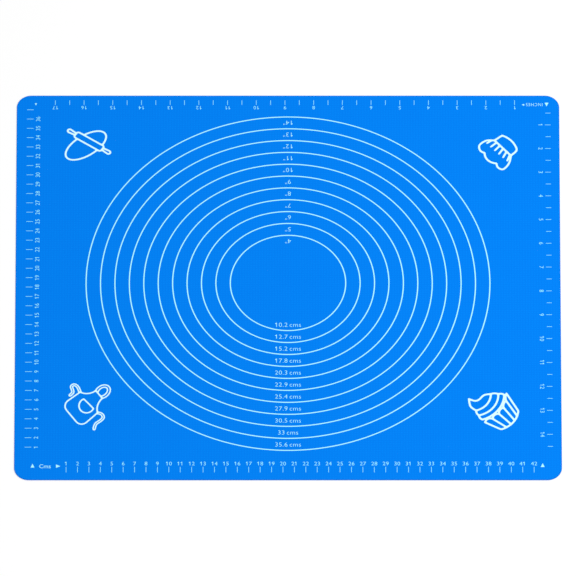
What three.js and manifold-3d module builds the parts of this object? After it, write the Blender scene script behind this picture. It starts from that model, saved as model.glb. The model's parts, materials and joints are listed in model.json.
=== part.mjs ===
// Silicone pastry mat: two coats of blue silicone on a glass cloth, closed round the rim by an edge seal,
// and printed in white ink with measuring rings, four scales, corner arrows and four kitchen drawings.
// Millimetres, +Z up. The origin lies under the middle of the mat, on the surface that it rests on.

import * as THREE from 'three';
import { mergeVertices } from 'three/addons/utils/BufferGeometryUtils.js';
import Module from 'manifold-3d';

// The laminate
const MAT_LENGTH = 480;
const MAT_WIDTH = 410;
const CORNER_RADIUS = 13;
const EDGE_SEAL_WIDTH = 3;
const COAT_THICKNESS = 0.3;
const CLOTH_THICKNESS = 0.15;
const INK_THICKNESS = 0.05;

// Widths of the printed lines
const RING_LINE = 0.95;
const TICK_LINE = 0.4;
const PICTURE_LINE = 1.7;

// Units that the scales and rings are printed in
const CENTIMETRE = 10;
const INCH = 25.4;

// Measuring rings, by diameter. They go on outwards for as long as there is clear room for one more.
const SMALLEST_RING = 4 * INCH;
const RING_STEP = INCH;
const RING_CENTRE_RISE = 4;
const RING_CLEARANCE = 4.5;

// Scales. Zero and end are measured along the mat's edge from its corners, edgeGap from the edge seal.
// A unit is divided into parts, and firstPart is the first of them that has a tick.
const BOTTOM_SCALE = {
  unit: CENTIMETRE, parts: 1, firstPart: 1, zero: 35.6, end: 20, edgeGap: 5, unitTick: 5.8, partTick: 5.8,
};
const LEFT_SCALE = {
  unit: CENTIMETRE, parts: 1, firstPart: 1, zero: 24.6, end: 12, edgeGap: 6.1, unitTick: 5.9, partTick: 5.9,
};
const TOP_SCALE = {
  unit: INCH, parts: 2, firstPart: 2, zero: 14.1, end: 25, edgeGap: 2.3, unitTick: 4.9, partTick: 4.9,
};
const RIGHT_SCALE = {
  unit: INCH, parts: 2, firstPart: 1, zero: 6.3, end: 30, edgeGap: 4.8, unitTick: 4.9, partTick: 4.5,
};
const NUMERAL_BAND = 6.5;

// Corner arrows, each placed from the mat's corner along its length and its width
const ARROW_SIZE = { width: 3.4, length: 3.9 };
const SMALL_ARROW_SIZE = { width: 2, length: 2.3 };
const CM_UP_ARROW = { inset: [16.2, 15], size: ARROW_SIZE };
const CM_RIGHT_ARROW = { inset: [38.7, 14.5], size: ARROW_SIZE };
const CM_END_ARROW = { inset: [16.9, 15.6], size: ARROW_SIZE };
const INCH_DOWN_ARROW = { inset: [11.2, 9.8], size: ARROW_SIZE };
const INCH_LEFT_ARROW = { inset: [32.1, 10.1], size: SMALL_ARROW_SIZE };
const INCH_END_ARROW = { inset: [16.9, 9.6], size: SMALL_ARROW_SIZE };

// Drawings, each placed from the mat's corner and turned, in degrees, from upright
const PIN_PLACE = { inset: [64.1, 49.7], turn: -33.9 };
const HAT_PLACE = { inset: [50.2, 56.6], turn: 131.5 };
const APRON_PLACE = { inset: [65.2, 81.9], turn: -54.9 };
const CAKE_PLACE = { inset: [57.7, 76.1], turn: 52 };

// Rolling pin over a sheet of pastry. Barrel and handle sizes are those of the clear area in their outline.
// A handle widens from its neck to a round knob, whose centre lies at its reach from the barrel.
const PIN_LINE = 1.6;
const BARREL_LENGTH = 26.8;
const BARREL_WIDTH = 5;
const BARREL_CORNER = 1;
const HANDLE_REACH = 7.3;
const HANDLE_NECK_WIDTH = 0.4;
const HANDLE_KNOB_WIDTH = 2;
const PASTRY_LENGTH = 42.7;
const PASTRY_WIDTH = 20.6;
const PASTRY_TURN = 72.2;
const PASTRY_DROP = 5;

// Baker's hat, with its origin in the middle of the line between band and crown. The crown has a middle
// lobe between two notches, and a side lobe from each end of the band through its points to the notch.
// The pleats fan out from that line, and the last one on the right starts at the crown's edge.
const BAND_TOP_WIDTH = 21.8;
const BAND_BOTTOM_WIDTH = 20.8;
const BAND_HEIGHT = 8.6;
const BAND_SAG = 2.3;
const BAND_ROUND = 3;
const CROWN_TOP = [-1, 18.6];
const RIGHT_NOTCH = [6.7, 15.5];
const LEFT_NOTCH = [-8.6, 15.2];
const RIGHT_LOBE = [[15.6, 5.6], [15.9, 13.4], [11, 16.8]];
const LEFT_LOBE = [[-12.8, 17.1], [-17.3, 14.9], [-16, 7]];
const PLEAT_COUNT = 6;
const PLEAT_SPREAD = 22;
const PLEAT_SHIFT = 1.4;
const PLEAT_LENGTH = 7;
const PLEAT_LEAN = 10.8;
const PLEAT_FAN = 34;

// Apron, with its origin in the middle of the waist. A strap is two lines with a slit between them, the neck
// loop is a strap that swells past its feet, and a tie leaves the waist through points measured from there.
// The whole drawing leans: each point is moved to the left by that share of its height.
const APRON_LEAN = 0.145;
const APRON_LINE = 1.3;
const WAIST_WIDTH = 26.8;
const HEM_WIDTH = 28.2;
const SKIRT_HEIGHT = 20.7;
const HEM_RADIUS = 6.5;
const BIB_WIDTH = 10;
const BIB_HEIGHT = 12.2;
const ARMHOLE_DEPTH = 2.2;
const STRAP_LINE = 1.15;
const TIE_SLIT = 0.7;
const NECK_LOOP_SLIT = 1.3;
const NECK_LOOP_HEIGHT = 10.8;
const NECK_LOOP_SWELL = 1.1;
const LEFT_TIE = [[-5.5, 1.4], [-9.2, 0.4], [-9.8, -2.6], [-6.8, -4], [-4.2, -5.4], [-3.6, -9.2]];
const RIGHT_TIE = [[3.6, 2.2], [7.2, 1.2], [7.9, -2.8], [7.6, -8], [10.6, -12.4]];
const POCKET_WIDTH = 13.4;
const POCKET_DEPTH = 9.9;
const POCKET_MIDDLE = [1, -0.9];
const POCKET_TURN = 5;

// Cupcake, with its origin in the middle of the case's rim, whose right end stands higher by twice the tilt.
// Each tier of icing runs from its left end to its right end through its lowest point, and the rim rises in
// a scallop between each two ribs. Its crests stay below the middle of the lowest tier's line by their drop,
// which is less than a line's width.
const RIM_WIDTH = 35.8;
const RIM_TILT = 2;
const RIM_SAG = 5.8;
const CREST_DROP = 1.3;
const BASE_WIDTH = 24.4;
const BASE_SAG = 3.2;
const BASE_ROUND = 1.5;
const BASE_SHIFT = -2.8;
const CASE_HEIGHT = 18.2;
const RIB_COUNT = 4;
const ICING_TIERS = [
  { left: [-17, 1.6], low: [-3, -3], right: [15.6, 2.6] },
  { left: [-15.4, 6.8], low: [-3, 2], right: [13, 7.2] },
  { left: [-12.8, 11.8], low: [-2.4, 8.4], right: [9, 12.4] },
];
const TIER_BULGE = 0.8;
const ICING_TIP = [-7, 24.4];
const ICING_LEFT_SIDE = [-12.4, 18.4];
const ICING_RIGHT_SIDE = [[4.4, 16.4], [-2.4, 17], [-5.6, 19.4]];

// Facets: steps in a quarter-round corner, a round pen end and a span of a free curve, and how far the
// flats of a drawn arc or of a ring may stand inside the true curve
const CORNER_STEPS = 6;
const CAP_STEPS = 4;
const SPAN_STEPS = 6;
const ARC_FACET_ERROR = 0.08;
const RING_FACET_ERROR = 0.2;

const clothBottom = COAT_THICKNESS;
const clothTop = clothBottom + CLOTH_THICKNESS;
const coatTop = clothTop + COAT_THICKNESS;
const inkTop = coatTop + INK_THICKNESS;

const silicone = new THREE.MeshStandardMaterial({ color: 0x0480f4, roughness: 0.6, metalness: 0 });
const glassFibre = new THREE.MeshStandardMaterial({ color: 0xe6ebe8, roughness: 0.7, metalness: 0 });
const whiteInk = new THREE.MeshStandardMaterial({ color: 0xf2fcff, roughness: 0.5, metalness: 0 });

const wasm = await Module();
wasm.setup();

// Turns a closed geometry into a solid that can be joined and cut.
function solidOf(geometry) {
  const bare = geometry.clone();
  bare.deleteAttribute('normal');
  bare.deleteAttribute('uv');
  const merged = mergeVertices(bare);
  return new wasm.Manifold(new wasm.Mesh({
    numProp: 3,
    vertProperties: merged.attributes.position.array,
    triVerts: new Uint32Array(merged.index.array),
  }));
}

function geometryOf(solid) {
  const mesh = solid.getMesh();
  const geometry = new THREE.BufferGeometry();
  geometry.setAttribute('position', new THREE.BufferAttribute(mesh.vertProperties, mesh.numProp));
  geometry.setIndex(new THREE.BufferAttribute(mesh.triVerts, 1));
  geometry.computeVertexNormals();
  return geometry;
}

function join(solids) {
  return solids.reduce((whole, solid) => whole.add(solid));
}

// A flat shape raised between two exact heights, so that layers meet face to face.
function slab(shape, bottom, top, curveSegments = CORNER_STEPS) {
  const depth = top - bottom;
  const geometry = new THREE.ExtrudeGeometry(shape, { depth, bevelEnabled: false, curveSegments });
  const position = geometry.attributes.position;
  for (let i = 0; i < position.count; i += 1) {
    position.setZ(i, position.getZ(i) > 0 ? top : bottom);
  }
  return geometry;
}

function inkSolid(shape) {
  return solidOf(slab(shape, coatTop, inkTop));
}

function point(x, y) {
  return new THREE.Vector2(x, y);
}

function mirrored(points) {
  return points.map((p) => point(-p.x, p.y)).reverse();
}

function roundedRectangle(length, width, radius) {
  const x = length / 2 - radius;
  const y = width / 2 - radius;
  const quarter = Math.PI / 2;
  const shape = new THREE.Shape();
  shape.absarc(x, y, radius, 0, quarter, false);
  shape.absarc(-x, y, radius, quarter, 2 * quarter, false);
  shape.absarc(-x, -y, radius, 2 * quarter, 3 * quarter, false);
  shape.absarc(x, -y, radius, 3 * quarter, 4 * quarter, false);
  return shape;
}

// How many flats a sweep of a circle needs to stay within an error of the true curve.
function flats(radius, sweep, error) {
  return Math.ceil(sweep / (2 * Math.acos(1 - error / radius)));
}

// The circular arc from a start through a point on the way to an end.
function arcCurve(start, via, end) {
  const a = via.clone().sub(start);
  const b = end.clone().sub(start);
  const turn = 2 * a.cross(b);
  const centre = point(
    start.x + (b.y * a.lengthSq() - a.y * b.lengthSq()) / turn,
    start.y + (a.x * b.lengthSq() - b.x * a.lengthSq()) / turn,
  );
  const from = start.clone().sub(centre).angle();
  const to = end.clone().sub(centre).angle();
  return new THREE.ArcCurve(centre.x, centre.y, start.distanceTo(centre), from, to, turn < 0);
}

// Points of such an arc after its start.
function arc(start, via, end) {
  const curve = arcCurve(start, via, end);
  const steps = flats(curve.xRadius, curve.getLength() / curve.xRadius, ARC_FACET_ERROR);
  return [...curve.getPoints(steps).slice(1, -1), end];
}

// The point that an arc goes through to bulge from its chord, to the right as it is walked.
function bulgeBy(start, end, height) {
  const chord = end.clone().sub(start);
  const outward = point(chord.y, -chord.x).normalize();
  return start.clone().lerp(end, 0.5).addScaledVector(outward, height);
}

function bulge(start, end, height) {
  return arc(start, bulgeBy(start, end, height), end);
}

// Points of a corner between two straight sides, rounded off from a reach before it to as far after it.
function roundedCorner(before, corner, after, reach) {
  const towardsBefore = before.clone().sub(corner).setLength(reach);
  const towardsAfter = after.clone().sub(corner).setLength(reach);
  const start = corner.clone().add(towardsBefore);
  const end = corner.clone().add(towardsAfter);
  const inward = towardsBefore.add(towardsAfter);
  const middle = corner.clone().addScaledVector(inward, 1 / (2 + start.distanceTo(end) / reach));
  return [start, ...arc(start, middle, end)];
}

function spline(points) {
  return new THREE.SplineCurve(points).getPoints(SPAN_STEPS * (points.length - 1));
}

// Moves each point of a line sideways, to the left as it is walked, with mitred corners.
function sideways(points, distance, closed) {
  const count = points.length;
  return points.map((here, i) => {
    const arriving = here.clone().sub(points[(i - 1 + count) % count]).normalize();
    const leaving = points[(i + 1) % count].clone().sub(here).normalize();
    if (!closed && i === 0) {
      arriving.copy(leaving);
    }
    if (!closed && i === count - 1) {
      leaving.copy(arriving);
    }
    const heading = arriving.clone().add(leaving).normalize();
    const left = point(-heading.y, heading.x);
    return here.clone().addScaledVector(left, distance / heading.dot(leaving));
  });
}

// Points of a round pen end, between the two sides of a stroke.
function roundEnd(centre, side) {
  const steps = Array.from({ length: CAP_STEPS - 1 }, (_, i) => (i + 1) / CAP_STEPS);
  return steps.map((share) => side.clone().rotateAround(centre, -Math.PI * share));
}

// The area that a round pen of the given width covers along an open line.
function penStroke(points, width = PICTURE_LINE) {
  const left = sideways(points, width / 2, false);
  const right = sideways(points, -width / 2, false).reverse();
  return new THREE.Shape([
    ...left,
    ...roundEnd(points.at(-1), left.at(-1)),
    ...right,
    ...roundEnd(points[0], right.at(-1)),
  ]);
}

// The area that a pen covers along a closed line, walked counter-clockwise.
function penLoop(points, width = PICTURE_LINE) {
  const shape = new THREE.Shape(sideways(points, -width / 2, true));
  shape.holes.push(new THREE.Path(sideways(points, width / 2, true)));
  return shape;
}

// A strap seen flat: its two edges and its end drawn as lines round a slit.
function outlinedStrap(points, slit) {
  const outside = inkSolid(penStroke(points, slit + 2 * STRAP_LINE));
  return { outside, slit: inkSolid(penStroke(points, slit)) };
}

function ellipse(length, width) {
  const curve = new THREE.EllipseCurve(0, 0, length / 2, width / 2);
  return curve.getPoints(flats(length / 2, 2 * Math.PI, ARC_FACET_ERROR)).slice(1);
}

// The two handles of the pin as areas, grown by a margin all round, with necks that start at a distance
// from the barrel's middle.
function pinHandles(neckStart, margin) {
  const neck = HANDLE_NECK_WIDTH / 2 + margin;
  const knob = HANDLE_KNOB_WIDTH / 2 + margin;
  const knobCentre = BARREL_LENGTH / 2 + HANDLE_REACH;
  const shape = new THREE.Shape();
  shape.moveTo(neckStart, neck);
  shape.lineTo(neckStart, -neck);
  shape.absarc(knobCentre, 0, knob, -Math.PI / 2, Math.PI / 2, false);
  const handle = inkSolid(shape);
  return handle.add(handle.rotate([0, 0, 180]));
}

function pinBarrel(margin) {
  const grow = 2 * margin;
  return inkSolid(
    roundedRectangle(BARREL_LENGTH + grow, BARREL_WIDTH + grow, BARREL_CORNER + margin),
  );
}

function pinDrawing() {
  const barrelEnd = BARREL_LENGTH / 2;
  const outside = pinBarrel(PIN_LINE).add(pinHandles(barrelEnd, PIN_LINE));
  const inside = pinBarrel(0).add(pinHandles(barrelEnd + PIN_LINE, 0));
  const underPin = pinBarrel(PIN_LINE / 2).add(pinHandles(barrelEnd, PIN_LINE / 2));
  const turn = THREE.MathUtils.degToRad(PASTRY_TURN);
  const pastryEdge = ellipse(PASTRY_LENGTH, PASTRY_WIDTH)
    .map((p) => p.rotateAround(point(0, 0), turn).sub(point(0, PASTRY_DROP)));
  const pastry = inkSolid(penLoop(pastryEdge, PIN_LINE)).subtract(underPin);
  return geometryOf(outside.subtract(inside).add(pastry));
}

function hatDrawing() {
  const rightCorner = point(BAND_BOTTOM_WIDTH / 2, -BAND_HEIGHT);
  const leftCorner = point(-rightCorner.x, rightCorner.y);
  const rightEnd = point(BAND_TOP_WIDTH / 2, 0);
  const leftEnd = point(-rightEnd.x, 0);
  const lowest = point(0, -BAND_HEIGHT - BAND_SAG);
  const leftRound = roundedCorner(leftEnd, leftCorner, lowest, BAND_ROUND);
  const rightNotch = point(...RIGHT_NOTCH);
  const leftNotch = point(...LEFT_NOTCH);
  const lobe = (start, points, end) => spline([start, ...points.map(([x, y]) => point(x, y)), end]);
  const outline = [
    ...leftRound,
    ...arc(leftRound.at(-1), lowest, rightCorner),
    ...lobe(rightEnd, RIGHT_LOBE, rightNotch),
    ...arc(rightNotch, point(...CROWN_TOP), leftNotch),
    ...lobe(leftNotch, LEFT_LOBE, leftEnd).slice(1),
  ];
  const bandLine = penStroke([leftEnd, rightEnd]);
  const pleats = Array.from({ length: PLEAT_COUNT }, (_, i) => {
    const share = i / (PLEAT_COUNT - 1) - 0.5;
    const foot = point(PLEAT_SHIFT + share * PLEAT_SPREAD, 0);
    const lean = THREE.MathUtils.degToRad(90 + PLEAT_LEAN - share * PLEAT_FAN);
    const tip = point(PLEAT_LENGTH, 0).rotateAround(point(0, 0), lean).add(foot);
    return penStroke([foot, tip]);
  });
  const lines = join([bandLine, ...pleats].map(inkSolid)).intersect(inkSolid(new THREE.Shape(outline)));
  return geometryOf(inkSolid(penLoop(outline)).add(lines));
}

// The part of an ellipse that stands on the bib, from its right foot over the top to its left foot.
function neckLoop(foot) {
  const halfWidth = foot.x + NECK_LOOP_SWELL;
  const footShare = Math.acos(foot.x / halfWidth);
  const halfHeight = NECK_LOOP_HEIGHT / (1 + Math.sin(footShare));
  const centreY = foot.y + NECK_LOOP_HEIGHT - halfHeight;
  const curve = new THREE.EllipseCurve(0, centreY, halfWidth, halfHeight, -footShare, Math.PI + footShare);
  return curve.getPoints(flats(halfHeight, Math.PI + 2 * footShare, ARC_FACET_ERROR));
}

function leaning(points) {
  return points.map((p) => point(p.x - APRON_LEAN * p.y, p.y));
}

function apronDrawing() {
  const waist = point(WAIST_WIDTH / 2, 0);
  const bib = point(BIB_WIDTH / 2, BIB_HEIGHT);
  const hemTop = point(HEM_WIDTH / 2, HEM_RADIUS - SKIRT_HEIGHT);
  const hemSide = point(HEM_WIDTH / 2 - HEM_RADIUS, -SKIRT_HEIGHT);
  const hemCentre = point(hemSide.x, hemTop.y);
  const hemMiddle = hemTop.clone().rotateAround(hemCentre, -Math.PI / 4);
  const rightSide = [
    hemSide,
    ...arc(hemSide, hemMiddle, hemTop),
    waist,
    ...bulge(waist, bib, -ARMHOLE_DEPTH),
  ];
  const outline = leaning([...rightSide, ...mirrored(rightSide)]);
  const body = inkSolid(penLoop(outline, APRON_LINE));
  const bodyArea = inkSolid(new THREE.Shape(outline));
  const neckFoot = point(bib.x - (NECK_LOOP_SLIT + STRAP_LINE) / 2, bib.y);
  const tieLine = (knot, offsets) => spline([
    knot,
    ...offsets.map(([x, y]) => point(knot.x + x, knot.y + y)),
  ]);
  const straps = [
    outlinedStrap(leaning(neckLoop(neckFoot)), NECK_LOOP_SLIT),
    outlinedStrap(leaning(tieLine(point(-waist.x, 0), LEFT_TIE)), TIE_SLIT),
    outlinedStrap(leaning(tieLine(waist, RIGHT_TIE)), TIE_SLIT),
  ];
  const outsides = straps.map((strap) => strap.outside.subtract(bodyArea));
  const slits = join(straps.map((strap) => strap.slit.subtract(bodyArea)));
  return geometryOf(join([body, ...outsides]).subtract(slits).add(body));
}

function pocketDrawing() {
  const right = point(POCKET_WIDTH / 2, 0);
  const left = point(-right.x, 0);
  const turn = THREE.MathUtils.degToRad(POCKET_TURN);
  const outline = leaning([left, ...arc(left, point(0, -POCKET_DEPTH), right)])
    .map((p) => p.rotateAround(point(0, 0), turn).add(point(...POCKET_MIDDLE)));
  return slab(penLoop(outline, APRON_LINE), coatTop, inkTop);
}

function cakeDrawing() {
  const rimRight = point(RIM_WIDTH / 2, RIM_TILT);
  const rimLeft = point(-rimRight.x, -rimRight.y);
  const baseRight = point(BASE_SHIFT + BASE_WIDTH / 2, -CASE_HEIGHT);
  const baseLeft = point(BASE_SHIFT - BASE_WIDTH / 2, -CASE_HEIGHT);
  const rimLow = bulgeBy(rimLeft, rimRight, RIM_SAG);
  const baseLow = bulgeBy(baseLeft, baseRight, BASE_SAG);
  const rim = arcCurve(rimLeft, rimLow, rimRight);
  const base = arcCurve(baseLeft, baseLow, baseRight);
  const [lowestTier] = ICING_TIERS;
  const icing = arcCurve(point(...lowestTier.left), point(...lowestTier.low), point(...lowestTier.right));
  const icingCentre = point(icing.aX, icing.aY);
  const flutes = RIB_COUNT + 1;
  const ribTops = Array.from({ length: flutes + 1 }, (_, i) => rim.getPoint(i / flutes));
  const scallops = ribTops.slice(1).map((end, i) => {
    const start = ribTops[i];
    const onIcing = icing.getPoint((i + 0.5) / flutes);
    const drop = onIcing.clone().sub(icingCentre).setLength(CREST_DROP);
    return penStroke([start, ...arc(start, onIcing.add(drop), end)]);
  });
  const leftRound = roundedCorner(rimLeft, baseLeft, baseLow, BASE_ROUND);
  const rightRound = roundedCorner(baseLow, baseRight, rimRight, BASE_ROUND);
  const caseSides = penStroke([
    rimLeft,
    ...leftRound,
    ...arc(leftRound.at(-1), baseLow, rightRound[0]),
    ...rightRound.slice(1),
    rimRight,
  ]);
  const ribs = ribTops.slice(1, -1).map(
    (top, i) => penStroke([top, base.getPoint((i + 1) / flutes)]),
  );
  const tiers = ICING_TIERS.map(({ left, low, right }) => {
    const start = point(...left);
    return [start, ...arc(start, point(...low), point(...right))];
  });
  const sides = tiers.slice(1).flatMap((tier, i) => {
    const below = tiers[i];
    const leftSide = [tier[0], ...bulge(tier[0], below[0], TIER_BULGE)];
    const rightSide = [below.at(-1), ...bulge(below.at(-1), tier.at(-1), TIER_BULGE)];
    return [leftSide, rightSide];
  });
  const tip = point(...ICING_TIP);
  const topLeft = spline([tiers.at(-1)[0], point(...ICING_LEFT_SIDE), tip]);
  const topRight = spline([tiers.at(-1).at(-1), ...ICING_RIGHT_SIDE.map(([x, y]) => point(x, y)), tip]);
  const lines = [...tiers, ...sides, topLeft, topRight].map((line) => penStroke(line));
  return geometryOf(join([caseSides, ...scallops, ...ribs, ...lines].map(inkSolid)));
}

function arrowGeometry({ width, length }) {
  const tail = -length / 2;
  const outline = [point(-width / 2, tail), point(width / 2, tail), point(0, length / 2)];
  return slab(new THREE.Shape(outline), coatTop, inkTop);
}

function ringGeometry(diameter) {
  const outer = (diameter + RING_LINE) / 2;
  const inner = (diameter - RING_LINE) / 2;
  const halfTurns = flats(outer, Math.PI, RING_FACET_ERROR);
  const shape = new THREE.Shape().absarc(0, 0, outer, 0, 2 * Math.PI, false);
  shape.holes.push(new THREE.Path().absarc(0, 0, inner, 0, 2 * Math.PI, true));
  return slab(shape, coatTop, inkTop, halfTurns);
}

// Raised ticks of one scale. It starts at a corner, given by its signs, and runs along that edge.
function scaleTicks(scale, corner, along) {
  const edge = along.x !== 0 ? MAT_LENGTH : MAT_WIDTH;
  const pitch = scale.unit / scale.parts;
  const last = Math.floor((edge - scale.end - scale.zero) / pitch);
  const start = point((corner.x * MAT_LENGTH) / 2, (corner.y * MAT_WIDTH) / 2);
  const inward = point(-corner.x * Math.abs(along.y), -corner.y * Math.abs(along.x));
  const rootDepth = COAT_THICKNESS / 2;
  const height = rootDepth + INK_THICKNESS;
  const ticks = [];
  for (let part = scale.firstPart; part <= last; part += 1) {
    const length = part % scale.parts === 0 ? scale.unitTick : scale.partTick;
    const middle = start.clone()
      .addScaledVector(along, scale.zero + part * pitch)
      .addScaledVector(inward, EDGE_SEAL_WIDTH + scale.edgeGap + length / 2);
    const sizeX = along.x !== 0 ? TICK_LINE : length;
    const sizeY = along.x !== 0 ? length : TICK_LINE;
    const tick = new THREE.BoxGeometry(sizeX, sizeY, height);
    tick.translate(middle.x, middle.y, inkTop - height / 2);
    ticks.push(solidOf(tick));
  }
  return ticks;
}

function mesh(name, geometry, material) {
  const piece = new THREE.Mesh(geometry, material);
  piece.name = name;
  return piece;
}

function laminate() {
  const core = () => roundedRectangle(
    MAT_LENGTH - 2 * EDGE_SEAL_WIDTH,
    MAT_WIDTH - 2 * EDGE_SEAL_WIDTH,
    CORNER_RADIUS - EDGE_SEAL_WIDTH,
  );
  const rim = roundedRectangle(MAT_LENGTH, MAT_WIDTH, CORNER_RADIUS);
  rim.holes.push(core());
  const ticks = [
    ...scaleTicks(BOTTOM_SCALE, point(-1, -1), point(1, 0)),
    ...scaleTicks(LEFT_SCALE, point(-1, -1), point(0, 1)),
    ...scaleTicks(TOP_SCALE, point(1, 1), point(-1, 0)),
    ...scaleTicks(RIGHT_SCALE, point(1, 1), point(0, -1)),
  ];
  const topCoat = join([solidOf(slab(core(), clothTop, coatTop)), ...ticks]);
  const group = new THREE.Group();
  group.add(
    mesh('base_coat', slab(core(), 0, clothBottom), silicone),
    mesh('glass_cloth', slab(core(), clothBottom, clothTop), glassFibre),
    mesh('top_coat', geometryOf(topCoat), silicone),
    mesh('edge_seal', slab(rim, 0, coatTop), silicone),
  );
  return group;
}

// Puts a piece of print at its inset from one of the mat's corners, turned about its own origin.
function placed(piece, corner, [insetX, insetY], turn) {
  piece.position.set(
    corner.x * (MAT_LENGTH / 2 - insetX),
    corner.y * (MAT_WIDTH / 2 - insetY),
    0,
  );
  piece.rotation.z = THREE.MathUtils.degToRad(turn);
  return piece;
}

function arrows() {
  const arrow = (name, { inset, size }, corner, turn) => placed(
    mesh(name, arrowGeometry(size), whiteInk), corner, inset, turn,
  );
  const group = new THREE.Group();
  group.add(
    arrow('arrow_cm_up', CM_UP_ARROW, point(-1, -1), 0),
    arrow('arrow_cm_right', CM_RIGHT_ARROW, point(-1, -1), -90),
    arrow('arrow_cm_end', CM_END_ARROW, point(1, -1), 0),
    arrow('arrow_inch_down', INCH_DOWN_ARROW, point(1, 1), 180),
    arrow('arrow_inch_left', INCH_LEFT_ARROW, point(1, 1), 90),
    arrow('arrow_inch_end', INCH_END_ARROW, point(-1, 1), 180),
  );
  return group;
}

function drawings() {
  const drawing = (name, geometry, corner, { inset, turn }) => placed(
    mesh(name, geometry, whiteInk), corner, inset, turn,
  );
  const group = new THREE.Group();
  group.add(
    drawing('rolling_pin_print', pinDrawing(), point(-1, 1), PIN_PLACE),
    drawing('baker_hat_print', hatDrawing(), point(1, 1), HAT_PLACE),
    drawing('apron_print', apronDrawing(), point(-1, -1), APRON_PLACE),
    drawing('apron_pocket_print', pocketDrawing(), point(-1, -1), APRON_PLACE),
    drawing('cupcake_print', cakeDrawing(), point(1, -1), CAKE_PLACE),
  );
  return group;
}

// The largest radius round the rings' centre that is clear of the scales and of the drawings.
function ringRoom(centre, pictures) {
  const band = (scale) => EDGE_SEAL_WIDTH + scale.edgeGap + scale.unitTick + NUMERAL_BAND;
  const toPictures = pictures.children.map((picture) => {
    const vertices = picture.geometry.attributes.position;
    const reaches = Array.from(
      { length: vertices.count },
      (_, i) => Math.hypot(vertices.getX(i), vertices.getY(i)),
    );
    return Math.hypot(picture.position.x - centre.x, picture.position.y - centre.y) - Math.max(...reaches);
  });
  return Math.min(
    MAT_WIDTH / 2 + centre.y - band(BOTTOM_SCALE),
    MAT_WIDTH / 2 - centre.y - band(TOP_SCALE),
    MAT_LENGTH / 2 - band(LEFT_SCALE),
    MAT_LENGTH / 2 - band(RIGHT_SCALE),
    ...toPictures,
  ) - RING_CLEARANCE;
}

function rings(pictures) {
  const group = new THREE.Group();
  group.position.y = RING_CENTRE_RISE;
  const room = ringRoom(group.position, pictures);
  for (let diameter = SMALLEST_RING; (diameter + RING_LINE) / 2 <= room; diameter += RING_STEP) {
    const number = String(group.children.length + 1).padStart(2, '0');
    group.add(mesh(`ring_${number}`, ringGeometry(diameter), whiteInk));
  }
  return group;
}

const mat = new THREE.Group();
const pictures = drawings();
mat.add(laminate(), rings(pictures), arrows(), pictures);

export default mat;
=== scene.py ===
"""The looks of a printed silicone pastry mat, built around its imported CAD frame.

Sizes in the classes are millimetres unless a comment says metres. Meshes are in metres,
in the frame's own place.
"""

import json
import logging
import math
from dataclasses import dataclass, field
from enum import Enum, IntEnum

import bmesh
import bpy
from mathutils import Matrix, Vector

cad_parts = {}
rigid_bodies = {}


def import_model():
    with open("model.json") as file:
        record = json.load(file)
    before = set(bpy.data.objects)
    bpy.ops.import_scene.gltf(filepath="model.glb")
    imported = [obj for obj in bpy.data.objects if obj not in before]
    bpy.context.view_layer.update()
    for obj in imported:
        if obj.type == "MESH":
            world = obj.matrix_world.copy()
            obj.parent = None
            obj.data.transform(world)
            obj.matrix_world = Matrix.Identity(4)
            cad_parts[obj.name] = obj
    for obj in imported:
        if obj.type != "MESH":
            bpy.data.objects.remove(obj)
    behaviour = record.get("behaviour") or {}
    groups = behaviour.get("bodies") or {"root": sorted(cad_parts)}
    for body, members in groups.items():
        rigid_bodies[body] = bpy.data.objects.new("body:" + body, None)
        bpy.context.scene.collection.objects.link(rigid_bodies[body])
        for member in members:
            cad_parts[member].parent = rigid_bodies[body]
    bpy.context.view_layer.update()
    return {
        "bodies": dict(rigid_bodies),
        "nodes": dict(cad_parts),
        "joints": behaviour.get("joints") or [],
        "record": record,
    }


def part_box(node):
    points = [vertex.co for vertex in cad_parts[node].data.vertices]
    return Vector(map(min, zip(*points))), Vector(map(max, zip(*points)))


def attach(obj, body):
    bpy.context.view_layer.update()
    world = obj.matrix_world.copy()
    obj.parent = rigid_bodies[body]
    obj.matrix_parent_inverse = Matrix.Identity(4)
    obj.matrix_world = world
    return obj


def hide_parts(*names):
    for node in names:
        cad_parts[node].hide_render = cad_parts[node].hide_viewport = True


MM = 0.001
CENTIMETRE = 10.0
INCH = 25.4
MERGE_DISTANCE = 1e-7  # metres
HALF_UNIT = 0.5  # words are set one unit high and one unit thick round the origin
# vertex attribute that paints shade on the rounded outer lip: 1 at the edge, 0 a lip's width in
RIM_SHADE_ATTRIBUTE = "rim"

log = logging.getLogger("pastry_mat")


class Slot(Enum):
    """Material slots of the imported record."""

    SILICONE = "blue_silicone"
    CLOTH = "glass_cloth"
    INK = "white_ink"


class Corner(Enum):
    """Corners that the scales count from, as signs along X and Y."""

    BOTTOM_LEFT = (-1, -1)
    TOP_RIGHT = (1, 1)


class MatEdge(Enum):
    """Edges that carry a scale: the corner it counts from, the way it counts, and its numerals' turn."""

    BOTTOM = (Corner.BOTTOM_LEFT, (1, 0), 0)
    LEFT = (Corner.BOTTOM_LEFT, (0, 1), 90)
    TOP = (Corner.TOP_RIGHT, (-1, 0), 180)
    RIGHT = (Corner.TOP_RIGHT, (0, -1), -90)


class InkFilm(Enum):
    """How thick the ink lies: the name of the finish, its colour, and its colour where it is thinnest.

    The narrower a printed line is, the thinner its film, and the more of the blue comes through.
    """

    BROAD = ("screen_ink_broad", "#D6FCFF", "#C0F5FF")
    LINE = ("screen_ink_line", "#AEF8FF", "#98EEFF")
    HAIR = ("screen_ink_hair", "#98F2FF", "#82E7FF")


class MixSocket(IntEnum):
    """Sockets of a Mix node that mixes colours."""

    FACTOR = 0
    FIRST = 6
    SECOND = 7
    RESULT = 2


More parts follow.
